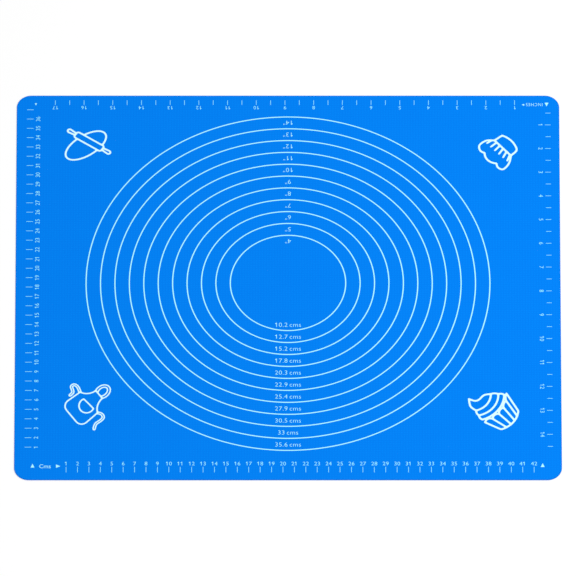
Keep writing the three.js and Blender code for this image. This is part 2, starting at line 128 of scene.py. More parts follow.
def linear(srgb: str, alpha: float = 1.0) -> tuple[float, float, float, float]:
    """Turns an sRGB hex colour into linear values.

    Args:
        srgb: Six hex digits after a hash sign.
        alpha: The fourth value.

    Returns:
        Red, green, blue and alpha, as a colour socket takes them.
    """
    levels = [int(srgb[i:i + 2], 16) / 255 for i in (1, 3, 5)]
    red, green, blue = (c / 12.92 if c <= 0.04045 else ((c + 0.055) / 1.055) ** 2.4 for c in levels)
    return red, green, blue, alpha


def add_node(
    tree: bpy.types.NodeTree,
    kind: str,
    settings: dict[str | int, object] | None = None,
    links: dict[str | int, bpy.types.NodeSocket] | None = None,
) -> bpy.types.Node:
    """Adds a node with its settings and links.

    Args:
        tree: The tree that the node goes into.
        kind: Blender's name for the kind of node.
        settings: Values of its properties, by name, and of its sockets, by name or number.
        links: Sockets that feed its own, by name or number.

    Returns:
        The new node.
    """
    node = tree.nodes.new(kind)
    for name, value in (settings or {}).items():
        if isinstance(name, int) or name in node.inputs:
            node.inputs[name].default_value = value
        else:
            setattr(node, name, value)
    for name, socket in (links or {}).items():
        tree.links.new(socket, node.inputs[name])
    return node


def new_material(name: str) -> bpy.types.Material:
    """Makes an empty node material.

    Args:
        name: The material's name.

    Returns:
        The material, with no nodes in it.
    """
    material = bpy.data.materials.new(name)
    material.use_nodes = True
    material.node_tree.nodes.clear()
    return material


def thread_waves(
    tree: bpy.types.NodeTree,
    coordinates: bpy.types.NodeSocket,
    pitch: float,
    waver: float,
) -> bpy.types.NodeSocket:
    """Draws the crowns of a plain weave, warp and weft, as a height from 0 to 1.

    Args:
        tree: The material's node tree.
        coordinates: Object coordinates, in metres.
        pitch: Thread spacing in millimetres.
        waver: How far the threads stray from straight.

    Returns:
        The height socket.
    """
    threads = 1 / (pitch * MM)
    wave_period = math.tau / 20  # at a scale of 1 a band texture repeats after this length
    octaves = 1.0  # of the noise that makes the threads stray
    mapping = add_node(tree, "ShaderNodeMapping", {"Scale": (threads,) * 3}, {"Vector": coordinates})
    bands = [
        add_node(
            tree,
            "ShaderNodeTexWave",
            {"bands_direction": axis, "Scale": wave_period, "Distortion": waver, "Detail": octaves},
            {"Vector": mapping.outputs["Vector"]},
        )
        for axis in ("X", "Y")
    ]
    crowns = add_node(
        tree,
        "ShaderNodeMath",
        {"operation": "MULTIPLY"},
        {i: band.outputs["Fac"] for i, band in enumerate(bands)},
    )
    return crowns.outputs[0]


@dataclass(frozen=True)
class CuredSilicone:
    """Pigmented silicone rubber, knife-coated on glass cloth and cured to a matt skin.

    To the eye it is a deep even blue with hardly any gloss. The threads of the cloth show through as a
    faint grid, and the rounded outer lip is painted a little darker, as painted shade of the edge.
    """

    name: str = "cured_silicone"
    colour: str = "#007AEB"
    thin_colour: str = "#0084F2"
    # painted shade: the darker blue of the rounded outer lip
    rim_colour: str = "#0071D8"
    ior: float = 1.41
    specular: float = 0.03
    roughness: tuple[float, float] = (0.5, 0.62)
    # The cloth's threads lie 0.6 mm apart. They are drawn four times as coarse, because at about
    # one pixel a millimetre they wouldn't show.
    thread_pitch: float = 2.4
    thread_waver: float = 0.6
    thread_depth: float = 0.05
    thread_show: float = 0.7
    grain_size: float = 0.9
    mottle_size: float = 34.0
    noise_octaves: float = 2.0

    def material(self) -> bpy.types.Material:
        """Builds the node material.

        Returns:
            The silicone, which reads the rim attribute of its mesh.
        """
        material = new_material(self.name)
        tree = material.node_tree
        place = add_node(tree, "ShaderNodeTexCoord").outputs["Object"]
        threads = thread_waves(tree, place, self.thread_pitch, self.thread_waver)
        grain, mottle = (
            add_node(
                tree,
                "ShaderNodeTexNoise",
                {"Scale": 1 / (size * MM), "Detail": self.noise_octaves},
                {"Vector": place},
            ).outputs["Fac"]
            for size in (self.grain_size, self.mottle_size)
        )
        cover = add_node(
            tree, "ShaderNodeMix", {"Factor": self.thread_show}, {"A": mottle, "B": threads},
        )
        body = add_node(
            tree,
            "ShaderNodeMix",
            {
                "data_type": "RGBA",
                MixSocket.FIRST: linear(self.colour),
                MixSocket.SECOND: linear(self.thin_colour),
            },
            {MixSocket.FACTOR: cover.outputs["Result"]},
        )
        # painted shade along the rounded outer lip, where the rim attribute is high
        rim = add_node(tree, "ShaderNodeAttribute", {"attribute_name": RIM_SHADE_ATTRIBUTE})
        colour = add_node(
            tree,
            "ShaderNodeMix",
            {"data_type": "RGBA", MixSocket.SECOND: linear(self.rim_colour)},
            {MixSocket.FACTOR: rim.outputs["Fac"], MixSocket.FIRST: body.outputs[MixSocket.RESULT]},
        )
        low, high = self.roughness
        roughness = add_node(
            tree, "ShaderNodeMapRange", {"To Min": low, "To Max": high}, {"Value": grain},
        )
        relief = add_node(
            tree, "ShaderNodeMix", {"Factor": self.thread_show}, {"A": grain, "B": threads},
        )
        bump = add_node(
            tree,
            "ShaderNodeBump",
            {"Distance": self.thread_depth * MM},
            {"Height": relief.outputs["Result"]},
        )
        surface = add_node(
            tree,
            "ShaderNodeBsdfPrincipled",
            {"IOR": self.ior, "Specular IOR Level": self.specular},
            {
                "Base Color": colour.outputs[MixSocket.RESULT],
                "Roughness": roughness.outputs["Result"],
                "Normal": bump.outputs["Normal"],
            },
        )
        add_node(tree, "ShaderNodeOutputMaterial", links={"Surface": surface.outputs["BSDF"]})
        return material


@dataclass(frozen=True)
class WovenGlass:
    """Plain-woven off-white glass-fibre cloth: a soft lustre on its threads' crowns, painted shade in the
    valleys.
    """

    name: str = "woven_glass"
    colour: str = "#E6EBE8"
    # painted shade: the darker tone of the valleys between the threads
    valley_colour: str = "#B9C4C2"
    ior: float = 1.52
    roughness: float = 0.45
    thread_pitch: float = 0.6
    thread_waver: float = 0.2
    thread_depth: float = 0.06

    def material(self) -> bpy.types.Material:
        """Builds the node material.

        Returns:
            The cloth.
        """
        material = new_material(self.name)
        tree = material.node_tree
        place = add_node(tree, "ShaderNodeTexCoord").outputs["Object"]
        threads = thread_waves(tree, place, self.thread_pitch, self.thread_waver)
        # painted shade: the colour goes from the valleys' darker tone to the crowns' off-white
        colour = add_node(
            tree,
            "ShaderNodeMix",
            {
                "data_type": "RGBA",
                MixSocket.FIRST: linear(self.valley_colour),
                MixSocket.SECOND: linear(self.colour),
            },
            {MixSocket.FACTOR: threads},
        )
        bump = add_node(
            tree, "ShaderNodeBump", {"Distance": self.thread_depth * MM}, {"Height": threads},
        )
        surface = add_node(
            tree,
            "ShaderNodeBsdfPrincipled",
            {"IOR": self.ior, "Roughness": self.roughness},
            {"Base Color": colour.outputs[MixSocket.RESULT], "Normal": bump.outputs["Normal"]},
        )
        add_node(tree, "ShaderNodeOutputMaterial", links={"Surface": surface.outputs["BSDF"]})
        return material


@dataclass(frozen=True)
class ScreenInk:
    """White silicone ink, screen-printed in one pass and cured.

    To the eye it is a cool white, bluer in thin lines and a little uneven where the screen left less ink.
    """

    film: InkFilm
    ior: float = 1.43
    specular: float = 0.3
    roughness: float = 0.5
    # A screen's mesh opening is about 0.1 mm. The thin spots are drawn as coarse as a line is wide.
    speckle_size: float = 1.2
    speckle_start: float = 0.52
    speckle_depth: float = 0.01
    speckle_octaves: float = 3.0

    def material(self) -> bpy.types.Material:
        """Builds the node material.

        Returns:
            The ink, in the colours of its film.
        """
        name, film_colour, thin_colour = self.film.value
        material = new_material(name)
        tree = material.node_tree
        place = add_node(tree, "ShaderNodeTexCoord").outputs["Object"]
        speckle = add_node(
            tree,
            "ShaderNodeTexNoise",
            {"Scale": 1 / (self.speckle_size * MM), "Detail": self.speckle_octaves},
            {"Vector": place},
        ).outputs["Fac"]
        thin = add_node(tree, "ShaderNodeMapRange", {"From Min": self.speckle_start}, {"Value": speckle})
        colour = add_node(
            tree,
            "ShaderNodeMix",
            {
                "data_type": "RGBA",
                MixSocket.FIRST: linear(film_colour),
                MixSocket.SECOND: linear(thin_colour),
            },
            {MixSocket.FACTOR: thin.outputs["Result"]},
        )
        bump = add_node(
            tree, "ShaderNodeBump", {"Distance": self.speckle_depth * MM}, {"Height": speckle},
        )
        surface = add_node(
            tree,
            "ShaderNodeBsdfPrincipled",
            {"IOR": self.ior, "Specular IOR Level": self.specular, "Roughness": self.roughness},
            {"Base Color": colour.outputs[MixSocket.RESULT], "Normal": bump.outputs["Normal"]},
        )
        add_node(tree, "ShaderNodeOutputMaterial", links={"Surface": surface.outputs["BSDF"]})
        return material


@dataclass
class Finishes:
    """The node materials of the mat, each made once."""

    silicone: bpy.types.Material = field(default_factory=lambda: CuredSilicone().material())
    cloth: bpy.types.Material = field(default_factory=lambda: WovenGlass().material())
    inks: dict[InkFilm, bpy.types.Material] = field(
        default_factory=lambda: {film: ScreenInk(film).material() for film in InkFilm},
    )


@dataclass(frozen=True)
class MatFrame:
    """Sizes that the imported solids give, in millimetres."""

    length: float
    width: float
    seal_width: float
    cloth_bottom: float
    cloth_top: float
    coat_top: float
    ink_top: float

    @classmethod
    def from_solids(cls) -> "MatFrame":
        """Reads the sizes from the solids' boxes.

        Returns:
            The sizes of this mat.
        """
        seal_low, seal_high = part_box("edge_seal")
        core_low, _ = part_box("base_coat")
        cloth_low, cloth_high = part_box("glass_cloth")
        _, print_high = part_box("ring_01")
        return cls(
            length=(seal_high.x - seal_low.x) / MM,
            width=(seal_high.y - seal_low.y) / MM,
            seal_width=(core_low.x - seal_low.x) / MM,
            cloth_bottom=cloth_low.z / MM,
            cloth_top=cloth_high.z / MM,
            coat_top=seal_high.z / MM,
            ink_top=print_high.z / MM,
        )

    @property
    def ink_thickness(self) -> float:
        """Thickness of the print."""
        return self.ink_top - self.coat_top

    @property
    def ink_middle(self) -> float:
        """Height halfway through the print."""
        return self.coat_top + self.ink_thickness / 2

    def corner_point(self, corner: Corner, inset: tuple[float, float]) -> Vector:
        """Gives a point measured in from a corner.

        Args:
            corner: The corner.
            inset: Distances from it along the mat's length and width.

        Returns:
            The point in the plane of the mat.
        """
        sign_x, sign_y = corner.value
        return Vector((sign_x * (self.length / 2 - inset[0]), sign_y * (self.width / 2 - inset[1])))


def add_object(name: str, data: bpy.types.ID) -> bpy.types.Object:
    """Adds an object to the scene.

    Args:
        name: Its name.
        data: Its mesh, curve, light or camera.

    Returns:
        The object, at the origin.
    """
    thing = bpy.data.objects.new(name, data)
    bpy.context.scene.collection.objects.link(thing)
    return thing


def add_piece(
    name: str,
    shape: bmesh.types.BMesh,
    material: bpy.types.Material,
    replaced: tuple[str, ...] = (),
    smooth_below: float = 40.0,
) -> bpy.types.Object:
    """Makes a finished piece of the mat from a shape in metres, and frees the shape.

    Args:
        name: The piece's name.
        shape: Its mesh, in place.
        material: Its finish.
        replaced: CAD nodes that it stands for.
        smooth_below: Edges that turn less than this, in degrees, are shaded smooth.

    Returns:
        The piece, riding on the mat's one body.
    """
    bmesh.ops.remove_doubles(shape, verts=shape.verts[:], dist=MERGE_DISTANCE)
    bmesh.ops.recalc_face_normals(shape, faces=shape.faces[:])
    mesh = bpy.data.meshes.new(name)
    shape.to_mesh(mesh)
    shape.free()
    mesh.shade_smooth()
    mesh.set_sharp_from_angle(angle=math.radians(smooth_below))
    mesh.materials.append(material)
    piece = add_object(name, mesh)
    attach(piece, "root")
    if replaced:
        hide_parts(*replaced)
    log.info("piece %s: %d faces", name, len(mesh.polygons))
    return piece


def rectangle(length: float, width: float) -> bmesh.types.BMesh:
    """Starts a shape as one flat face round the origin.

    Args:
        length: Its side along X, in metres.
        width: Its side along Y, in metres.

    Returns:
        The shape.
    """
    shape = bmesh.new()
    half_sides = Matrix.Diagonal((length / 2, width / 2, 1, 1))
    bmesh.ops.create_grid(shape, x_segments=1, y_segments=1, size=1, matrix=half_sides)
    return shape


def push_out(shape: bmesh.types.BMesh, faces: list[bmesh.types.BMFace], way: Vector) -> None:
    """Extrudes faces as one region.

    Args:
        shape: The shape that they belong to.
        faces: The faces.
        way: How far and which way they go.
    """
    moved = bmesh.ops.extrude_face_region(shape, geom=faces)["geom"]
    verts = [item for item in moved if isinstance(item, bmesh.types.BMVert)]
    bmesh.ops.translate(shape, vec=way, verts=verts)


def raise_faces(shape: bmesh.types.BMesh, bottom: float, top: float) -> None:
    """Turns flat faces at height zero into a closed solid between two heights.

    Args:
        shape: The flat shape.
        bottom: Lower height in millimetres.
        top: Upper height in millimetres.
    """
    bmesh.ops.translate(shape, vec=(0, 0, bottom * MM), verts=shape.verts[:])
    push_out(shape, shape.faces[:], Vector((0, 0, top - bottom)) * MM)


@dataclass
class Laminate:
    """The sheet itself: two coats of silicone on a glass cloth, sealed round the rim."""

    frame: MatFrame
    finishes: Finishes
    corner_radius: float = 13.0
    corner_steps: int = 24
    lip_width: float = 1.1
    lip_round: float = 0.36
    lip_steps: int = 5

    def outline(self) -> tuple[bmesh.types.BMesh, bmesh.types.BMFace]:
        """Draws the mat flat at the origin's height, as a rim, a band and a core.

        Returns:
            The shape, and its core face, which lies inside the edge seal.
        """
        shape = rectangle(self.frame.length * MM, self.frame.width * MM)
        bmesh.ops.bevel(
            shape,
            geom=shape.verts[:],
            offset=self.corner_radius * MM,
            affect="VERTICES",
            segments=self.corner_steps,
            profile=0.5,
            material=-1,
        )
        core = shape.faces[:][0]
        for inset in (self.lip_width, self.frame.seal_width - self.lip_width):
            bmesh.ops.inset_individual(
                shape, faces=[core], thickness=inset * MM, use_even_offset=True,
            )
        return shape, core

    def core_slab(self, bottom: float, top: float) -> bmesh.types.BMesh:
        """Raises the core between two heights.

        Args:
            bottom: Lower height in millimetres.
            top: Upper height in millimetres.

        Returns:
            The closed slab.
        """
        shape, core = self.outline()
        around = [face for face in shape.faces if face is not core]
        bmesh.ops.delete(shape, geom=around, context="FACES")
        raise_faces(shape, bottom, top)
        return shape

    def rim_depth(self, point: Vector) -> float:
        """Gives how far a point lies inside the mat's outline, in millimetres.

        Args:
            point: A point in metres.

        Returns:
            The distance to the outline.
        """
        out_x = abs(point.x) / MM - self.frame.length / 2 + self.corner_radius
        out_y = abs(point.y) / MM - self.frame.width / 2 + self.corner_radius
        past_corner = math.hypot(max(out_x, 0.0), max(out_y, 0.0))
        return self.corner_radius - past_corner - min(max(out_x, out_y), 0.0)

    def seal_ring(self) -> bmesh.types.BMesh:
        """Builds the edge seal, with a rounded lip that is marked for its painted shade.

        Returns:
            The closed ring, with its rim attribute of painted shade.
        """
        shape, core = self.outline()
        bmesh.ops.delete(shape, geom=[core], context="FACES")
        raise_faces(shape, 0.0, self.frame.coat_top)
        reach = self.lip_width / 2
        lip_edges = [
            edge
            for edge in shape.edges
            if all(self.rim_depth(vert.co) < reach for vert in edge.verts)
            and edge.verts[0].co.z == edge.verts[1].co.z
        ]
        bmesh.ops.bevel(
            shape,
            geom=lip_edges,
            offset=self.lip_round * MM,
            affect="EDGES",
            segments=self.lip_steps,
            profile=0.5,
            material=-1,
        )
        # painted shade: the attribute is 1 at the outer edge and fades to 0 a lip's width in
        rim = shape.verts.layers.float.new(RIM_SHADE_ATTRIBUTE)
        for vert in shape.verts:
            vert[rim] = 1.0 - min(self.rim_depth(vert.co) / self.lip_width, 1.0)
        return shape

    def build(self) -> None:
        """Makes and dresses the four layers."""
        frame = self.frame
        silicone = self.finishes.silicone
        base = add_piece(
            "silicone_base",
            self.core_slab(0.0, frame.cloth_bottom),
            silicone,
            ("base_coat",),
        )
        cloth = add_piece(
            "woven_core",
            self.core_slab(frame.cloth_bottom, frame.cloth_top),
            self.finishes.cloth,
            ("glass_cloth",),
        )
        face = add_piece(
            "silicone_face",
            self.core_slab(frame.cloth_top, frame.coat_top),
            silicone,
            ("top_coat",),
        )
        seal = add_piece("sealed_rim", self.seal_ring(), silicone, ("edge_seal",))


@dataclass(frozen=True)
class Lettering:
    """How words are set. A width or a spacing of 1 is the font's own.

    Thinning is how far each outline is drawn in, on words one unit high.
    """

    height: float
    width: float = 1.0
    thinning: float = 0.0
    spacing: float = 1.0
    word_spacing: float = 1.0


@dataclass
class InkPrint:
    """Shared ways to lay ink on the mat's face."""

    frame: MatFrame
    finishes: Finishes
    figure_share: float = 0.682  # height of a figure or capital in the built-in font, at a size of 1
    curve_steps: int = 3
    # On figures one unit high: how close to both ends the side of a figure 1's stem comes, how much
    # of its top the flag takes up, and how far the flag reaches
    stem_slack: float = 0.01
    flag_height: float = 0.22
    flag_reach: tuple[float, float] = (-0.2, -0.15)
    upright: float = 0.99  # a stem's side points at least this squarely to the left

    def letters(self, words: str, lettering: Lettering) -> bpy.types.Mesh:
        """Sets words in the built-in font, one unit high and one unit thick round the origin.

        Args:
            words: What to print.
            lettering: How they are set.

        Returns:
            The mesh of the words, centred along and across the line.
        """
        curve = bpy.data.curves.new("words", "FONT")
        curve.body = words
        curve.align_x = "CENTER"
        curve.size = (1 + 2 * lettering.thinning) / self.figure_share
        curve.space_character = lettering.spacing
        curve.space_word = lettering.word_spacing
        curve.offset = -lettering.thinning
        curve.extrude = HALF_UNIT
        curve.resolution_u = self.curve_steps
        holder = add_object("words", curve)
        graph = bpy.context.evaluated_depsgraph_get()
        mesh = bpy.data.meshes.new_from_object(holder.evaluated_get(graph))
        bpy.data.objects.remove(holder)
        bpy.data.curves.remove(curve)
        mesh.transform(Matrix.Translation((0, -HALF_UNIT - lettering.thinning, 0)))
        return mesh

    def flag_ones(self, mesh: bpy.types.Mesh) -> None:
        """Gives each figure 1, a bare bar in the built-in font, the flag that tells it from a tick.

        Args:
            mesh: Figures one unit high round the origin.
        """
        shape = bmesh.new()
        shape.from_mesh(mesh)
        bmesh.ops.remove_doubles(shape, verts=shape.verts[:], dist=MERGE_DISTANCE / MM)
        bmesh.ops.recalc_face_normals(shape, faces=shape.faces[:])
        facing_left = [face for face in shape.faces if -face.normal.x > self.upright]
        near_ends = HALF_UNIT - self.stem_slack
        stems = [face for face in facing_left if min(abs(vert.co.y) for vert in face.verts) > near_ends]
        cut = HALF_UNIT - self.flag_height
        for stem in stems:
            halves = bmesh.ops.bisect_plane(
                shape, geom=[stem, *stem.edges, *stem.verts], plane_co=(0, cut, 0), plane_no=(0, 1, 0),
            )["geom"]
            upper = [
                item
                for item in halves
                if isinstance(item, bmesh.types.BMFace) and item.calc_center_median().y > cut
            ]
            push_out(shape, upper, Vector((*self.flag_reach, 0)))
            bmesh.ops.delete(shape, geom=upper, context="FACES_ONLY")
        shape.to_mesh(mesh)
        shape.free()

    def lay_words(
        self,
        shape: bmesh.types.BMesh,
        words: str,
        middle: Vector,
        lettering: Lettering,
        turn: float = 0.0,
    ) -> None:
        """Adds printed words to a shape.

        Args:
            shape: The shape that gets the words.
            words: What to print.
            middle: Middle of the words, in millimetres.
            lettering: How they are set.
            turn: Degrees that they are turned, counter-clockwise.
        """
        mesh = self.letters(words, lettering)
        if "1" in words:
            self.flag_ones(mesh)
        size = (lettering.width * lettering.height, lettering.height, self.frame.ink_thickness)
        place = Matrix.LocRotScale(
            Vector((middle.x, middle.y, self.frame.ink_middle)) * MM,
            Matrix.Rotation(math.radians(turn), 3, "Z"),
            Vector(size) * MM,
        )
        mesh.transform(place)
        shape.from_mesh(mesh)
        bpy.data.meshes.remove(mesh)

    def add_fine_print(
        self,
        name: str,
        shape: bmesh.types.BMesh,
        film: InkFilm = InkFilm.HAIR,
    ) -> None:
        """Makes a piece of small print.

        Args:
            name: The piece's name.
            shape: Its mesh, in place.
            film: How thick its ink lies.
        """
        add_piece(name, shape, self.finishes.inks[film])


@dataclass
class MeasuringRings(InkPrint):
    """Rings in one-inch steps, each named in centimetres below and in inches, upside down, above."""

    line_width: float = 0.95
    ring_steps: int = 288
    label_gap: float = 3.6
    label: Lettering = Lettering(4.2, thinning=0.02, spacing=1.05, word_spacing=0.55)

    def ring_line(self, centre: Vector, outer: float, inner: float) -> bmesh.types.BMesh:
        """Spins the section of a printed line into a ring.

        Args:
            centre: The ring's centre, in millimetres.
            outer: Outer radius in millimetres.
            inner: Inner radius in millimetres.

        Returns:
            The closed ring.
        """
        shape = bmesh.new()
        low, high = self.frame.coat_top, self.frame.ink_top
        section = [(inner, low), (outer, low), (outer, high), (inner, high)]
        verts = [shape.verts.new(Vector((x, 0, z)) * MM) for x, z in section]
        edges = [shape.edges.new((verts[i - 1], verts[i])) for i in range(len(verts))]
        bmesh.ops.spin(
            shape,
            geom=verts + edges,
            cent=(0, 0, 0),
            axis=(0, 0, 1),
            angle=math.tau,
            steps=self.ring_steps,
            use_merge=True,
        )
        bmesh.ops.translate(shape, vec=centre.to_3d() * MM, verts=shape.verts[:])
        return shape

    def build(self, nodes: list[str]) -> None:
        """Makes the rings over their CAD nodes, and their labels.

        Args:
            nodes: Names of the CAD rings.
        """
        centimetres, inches = bmesh.new(), bmesh.new()
        for node in nodes:
            low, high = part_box(node)
            centre = Vector(((low.x + high.x) / 2, (low.y + high.y) / 2)) / MM
            outer = (high.x - low.x) / 2 / MM
            inner = outer - self.line_width
            line = self.ring_line(centre, outer, inner)
            add_piece(f"{node}_line", line, self.finishes.inks[InkFilm.LINE], (node,))
            diameter = outer + inner
            reach = Vector((0, inner - self.label_gap - self.label.height / 2))
            in_centimetres = f"{diameter / CENTIMETRE:.1f}".removesuffix(".0")
            self.lay_words(centimetres, f"{in_centimetres} cms", centre - reach, self.label)
            self.lay_words(inches, f'{diameter / INCH:.0f}"', centre + reach, self.label, turn=180)
        self.add_fine_print("ring_labels_centimetres", centimetres, InkFilm.LINE)
        self.add_fine_print("ring_labels_inches", inches, InkFilm.LINE)


@dataclass(frozen=True)
class ScaleSizes:
    """Sizes of one scale, whose unit is divided into equal parts.

    Zero and end are measured along the edge from the mat's corners, and the edge gap from its seal.
    """

    edge: MatEdge
    unit: float
    parts: int
    first_part: int
    zero: float
    end: float
    edge_gap: float
    unit_tick: float
    part_tick: float
    figure_height: float
    figure_gap: float
    last_is_bare: bool = False


@dataclass
class EdgeScales(InkPrint):
    """Ruler ticks and numerals along the four edges."""

    tick_width: float = 0.4
    figure_thinning: float = 0.008
    figure_spacing: float = 1.03
    scales: tuple[ScaleSizes, ...] = (
        ScaleSizes(
            MatEdge.BOTTOM,
            unit=CENTIMETRE,
            parts=1,
            first_part=1,
            zero=35.6,
            end=20.0,
            edge_gap=5.0,
            unit_tick=5.8,
            part_tick=5.8,
            figure_height=3.7,
            figure_gap=1.6,
        ),
        ScaleSizes(
            MatEdge.LEFT,
            unit=CENTIMETRE,
            parts=1,
            first_part=1,
            zero=24.6,
            end=12.0,
            edge_gap=6.1,
            unit_tick=5.9,
            part_tick=5.9,
            figure_height=3.6,
            figure_gap=2.2,
            last_is_bare=True,
        ),
        ScaleSizes(
            MatEdge.TOP,
            unit=INCH,
            parts=2,
            first_part=2,
            zero=14.1,
            end=25.0,
            edge_gap=2.3,
            unit_tick=4.9,
            part_tick=4.9,
            figure_height=3.4,
            figure_gap=1.3,
        ),
        ScaleSizes(
            MatEdge.RIGHT,
            unit=INCH,
            parts=2,
            first_part=1,
            zero=6.3,
            end=30.0,
            edge_gap=4.8,
            unit_tick=4.9,
            part_tick=4.5,
            figure_height=3.6,
            figure_gap=2.3,
        ),
    )

    def build(self) -> None:
        """Makes the ticks and the numerals of each scale."""
        for scale in self.scales:
            self.build_scale(scale)

    def lay_tick(self, shape: bmesh.types.BMesh, foot: Vector, inward: Vector, length: float) -> None:
        """Adds a tick to a shape.

        Args:
            shape: The shape that gets the tick.
            foot: Its end towards the mat's edge, in millimetres.
            inward: The way into the mat.
            length: Its length in millimetres.
        """
        middle = (foot + inward * length / 2).to_3d()
        middle.z = self.frame.ink_middle
        sides = (length, self.tick_width) if inward.x else (self.tick_width, length)
        size = Vector((*sides, self.frame.ink_thickness))
        bmesh.ops.create_cube(shape, size=1, matrix=Matrix.LocRotScale(middle * MM, None, size * MM))

    def build_scale(self, scale: ScaleSizes) -> None:
        """Makes one scale.

        Args:
            scale: Its sizes.
        """
        corner, way, turn = scale.edge.value
        along = Vector(way)
        start = self.frame.corner_point(corner, (0.0, 0.0))
        inward = Vector((-corner.value[0] * abs(along.y), -corner.value[1] * abs(along.x)))
        edge_length = self.frame.length if along.x else self.frame.width
        pitch = scale.unit / scale.parts
        last = math.floor((edge_length - scale.end - scale.zero) / pitch)
        lettering = Lettering(
            scale.figure_height, thinning=self.figure_thinning, spacing=self.figure_spacing,
        )
        ticks, figures = bmesh.new(), bmesh.new()
        for part in range(scale.first_part, last + 1):
            whole, rest = divmod(part, scale.parts)
            foot = start + along * (scale.zero + part * pitch)
            foot += inward * (self.frame.seal_width + scale.edge_gap)
            self.lay_tick(ticks, foot, inward, scale.part_tick if rest else scale.unit_tick)
            if rest or (scale.last_is_bare and part == last):
                continue
            reach = scale.unit_tick + scale.figure_gap + scale.figure_height / 2
            self.lay_words(figures, str(whole), foot + inward * reach, lettering, turn)
        edge_name = scale.edge.name.lower()
        self.add_fine_print(f"scale_ticks_{edge_name}", ticks)
        self.add_fine_print(f"scale_numerals_{edge_name}", figures)


@dataclass(frozen=True)
class UnitWord:
    """A unit's name beside the start of its scales."""

    name: str
    words: str
    corner: Corner
    inset: tuple[float, float]
    turn: float
    lettering: Lettering
    film: InkFilm


@dataclass
class CornerMarks(InkPrint):
    """Names of the units, in the corners where their scales start."""

    words: tuple[UnitWord, ...] = (
        UnitWord(
            "unit_word_centimetres",
            "Cms",
            Corner.BOTTOM_LEFT,
            inset=(27.1, 14.4),
            turn=0.0,
            lettering=Lettering(3.9),
            film=InkFilm.LINE,
        ),
        UnitWord(
            "unit_word_inches",
            "INCHES",
            Corner.TOP_RIGHT,
            inset=(22.0, 9.9),
            turn=180.0,
            lettering=Lettering(3.1, width=0.84, thinning=0.012, spacing=1.18),
            film=InkFilm.LINE,
        ),
    )

    def build(self) -> None:
        """Makes the unit words."""
        for word in self.words:
            shape = bmesh.new()
            middle = self.frame.corner_point(word.corner, word.inset)
            self.lay_words(shape, word.words, middle, word.lettering, word.turn)
            self.add_fine_print(word.name, shape, word.film)


@dataclass
class LineDrawings(InkPrint):
    """The kitchen drawings, their facets and sharp corners softened as wet ink settles."""

    outline_step: float = 0.35
    settling_rounds: int = 8
    settling_pull: float = 0.5  # share of the way to its neighbours' middle that a point goes in a round

    def top_outline(self, solid: bpy.types.Mesh) -> bmesh.types.BMesh:
        """Copies the outline of a printed solid's top.

        Args:
            solid: The solid's mesh, which is left as it is.

        Returns:
            The outline's edges, at the height of the print's top.
        """
        shape = bmesh.new()
        shape.from_mesh(solid)
        bmesh.ops.remove_doubles(shape, verts=shape.verts[:], dist=MERGE_DISTANCE)
        lower = [vert for vert in shape.verts if vert.co.z < self.frame.ink_middle * MM]
        bmesh.ops.delete(shape, geom=lower, context="VERTS")
        inside = [edge for edge in shape.edges if not edge.is_boundary]
        bmesh.ops.delete(shape, geom=shape.faces[:], context="FACES_ONLY")
        bmesh.ops.delete(shape, geom=inside, context="EDGES")
        return shape

    def settled(self, solid: bpy.types.Mesh) -> bmesh.types.BMesh:
        """Redraws a printed solid with a soft outline.

        Args:
            solid: The solid's mesh, which is left as it is.

        Returns:
            The closed print.
        """
        shape = self.top_outline(solid)
        for edge in shape.edges[:]:
            cuts = math.floor(edge.calc_length() / (self.outline_step * MM))
            bmesh.ops.subdivide_edges(shape, edges=[edge], cuts=cuts)
        for _ in range(self.settling_rounds):
            bmesh.ops.smooth_vert(
                shape, verts=shape.verts[:], factor=self.settling_pull, use_axis_x=True, use_axis_y=True,
            )
        bmesh.ops.triangle_fill(shape, edges=shape.edges[:], use_beauty=True, normal=(0, 0, 1))
        bmesh.ops.translate(shape, vec=(0, 0, -self.frame.ink_top * MM), verts=shape.verts[:])
        raise_faces(shape, self.frame.coat_top, self.frame.ink_top)
        return shape

    def build(self, nodes: dict[str, bpy.types.Object], names: list[str]) -> None:
        """Makes each drawing over its CAD node.

        Args:
            nodes: The frame's solids by name.
            names: Which of them are drawings.
        """
        ink = self.finishes.inks[InkFilm.BROAD]
        for name in names:
            drawing = self.settled(nodes[name].data)
            add_piece(f"{name.removesuffix('_print')}_drawing", drawing, ink, (name,))


def ink_solids(nodes: dict[str, bpy.types.Object], names: list[str], ink: bpy.types.Material) -> None:
    """Gives printed solids of the frame their ink.

    Args:
        nodes: The frame's solids by name.
        names: Which of them are left as they are in shape.
        ink: The ink's material.
    """
    for name in names:
        mesh = nodes[name].data
        mesh.materials.clear()
        mesh.materials.append(ink)
        log.info("inked solid %s", name)


@dataclass(frozen=True)
class SoftLamp:
    """A square lamp that faces the mat and stays out of the picture."""

    name: str
    place: tuple[float, float, float]  # metres
    side: float  # metres
    power: float  # watts

    def hang(self) -> None:
        """Adds the lamp to the scene."""
        light = bpy.data.lights.new(self.name, "AREA")
        light.energy = self.power
        light.size = self.side
        lamp = add_object(self.name, light)
        lamp.location = self.place
        lamp.rotation_euler = Vector(self.place).to_track_quat("Z", "Y").to_euler()
        lamp.visible_camera = False


